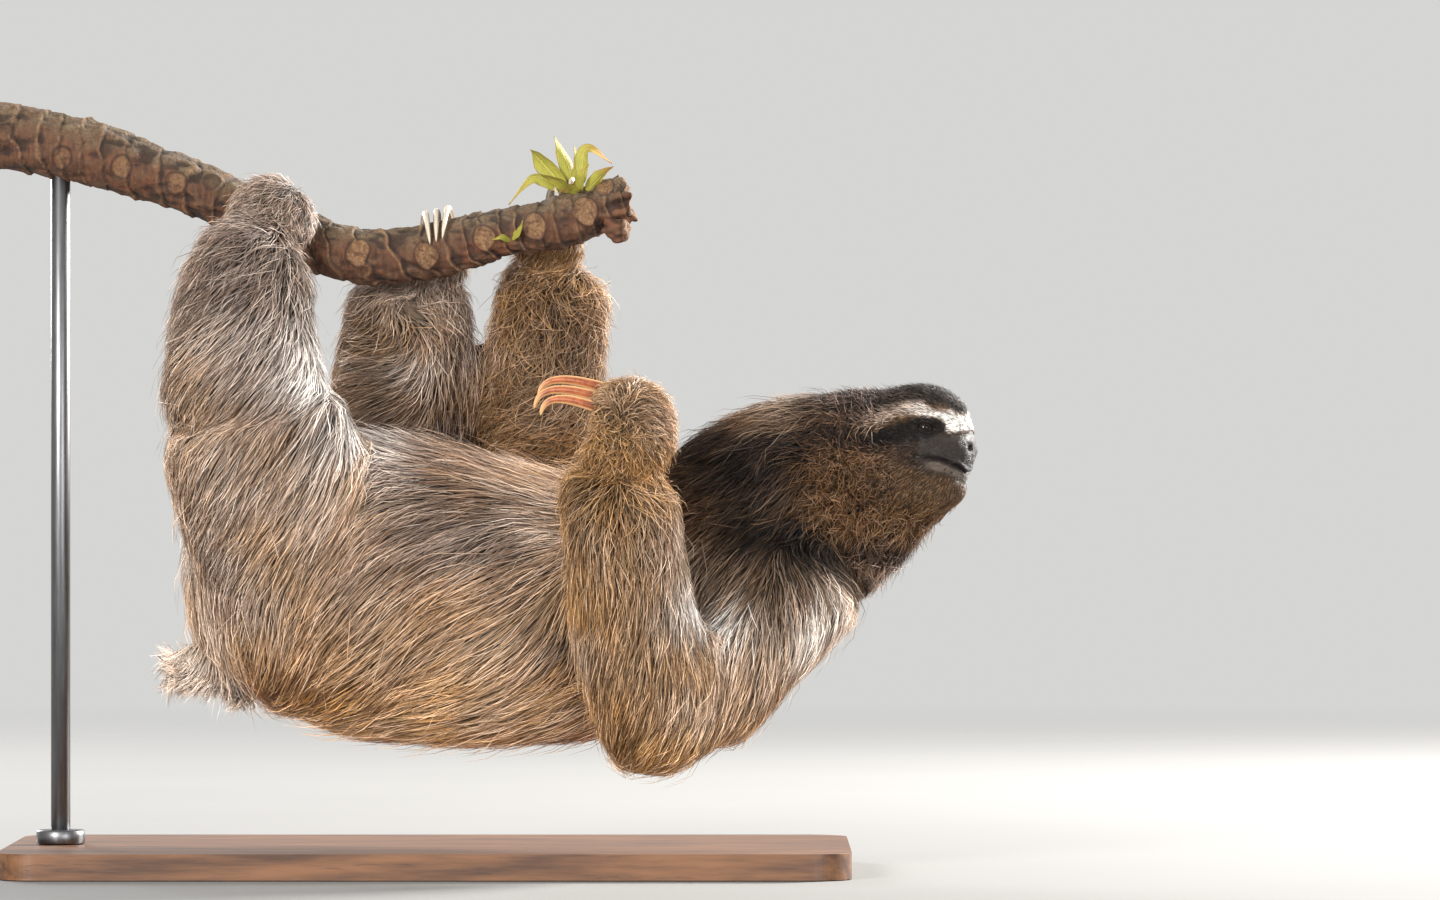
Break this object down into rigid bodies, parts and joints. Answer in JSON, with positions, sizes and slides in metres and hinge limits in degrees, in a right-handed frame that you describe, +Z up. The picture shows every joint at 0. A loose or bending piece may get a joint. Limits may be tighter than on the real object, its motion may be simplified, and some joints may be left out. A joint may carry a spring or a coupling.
{
  "type": "three-toed sloth",
  "caption": "Life-size still model of a three-toed sloth that hangs belly-up from a cut branch and turns its head upright, on a flat display base.",
  "frame": {"origin": "centre of the flat underside of the display base", "axes": "+Z up, +X from the rump to the head, -Y towards the animal's left side, which the picture shows"},
  "size_m": [0.6146, 0.262, 0.4732],
  "materials": {
    "coat": "long coarse hair, grey-brown to tan, with pale grey patches at knee and shoulder",
    "dark_coat": "dark brown hair, short on the face, with a pale brow band and a dark stripe behind the eye",
    "nose_skin": "bare dark grey skin, slightly moist",
    "eye": "polished dark brown glass",
    "claw": "smooth orange-tan horn with paler tips",
    "pale_claw": "smooth ivory horn",
    "bark": "ridged grey-brown bark with leaf scars and a sawn end",
    "leaf": "thin young yellow-green leaf",
    "stand_wood": "flat dark lacquer",
    "stand_steel": "satin steel"
  },
  "bodies": {
    "root": {"nose": "nose_skin", "eye_left": "eye", "ear_left": "dark_coat", "eye_right": "eye", "ear_right": "dark_coat", "head": "dark_coat", "claw_foot_left_1": "pale_claw", "claw_foot_left_2": "pale_claw", "claw_foot_left_3": "pale_claw", "claw_foot_right_1": "pale_claw", "claw_foot_right_2": "pale_claw", "claw_foot_right_3": "pale_claw", "claw_hand_right_1": "pale_claw", "claw_hand_right_2": "pale_claw", "claw_hand_right_3": "pale_claw", "claw_hand_left_1": "claw", "claw_hand_left_2": "claw", "claw_hand_left_3": "claw", "trunk": "coat", "tail": "coat", "upper_arm_left": "coat", "forearm_left": "coat", "hand_left": "coat", "upper_arm_right": "coat", "forearm_right": "coat", "hand_right": "coat", "thigh_left": "coat", "shank_left": "coat", "foot_left": "coat", "thigh_right": "coat", "shank_right": "coat", "foot_right": "coat", "neck": "dark_coat", "branch": "bark", "branch_bud": "bark", "leaf_1": "leaf", "leaf_2": "leaf", "leaf_3": "leaf", "leaf_4": "leaf", "leaf_5": "leaf", "stand_base": "stand_wood", "stand_rod": "stand_steel", "stand_collar": "stand_steel"}
  },
  "joints": []
}
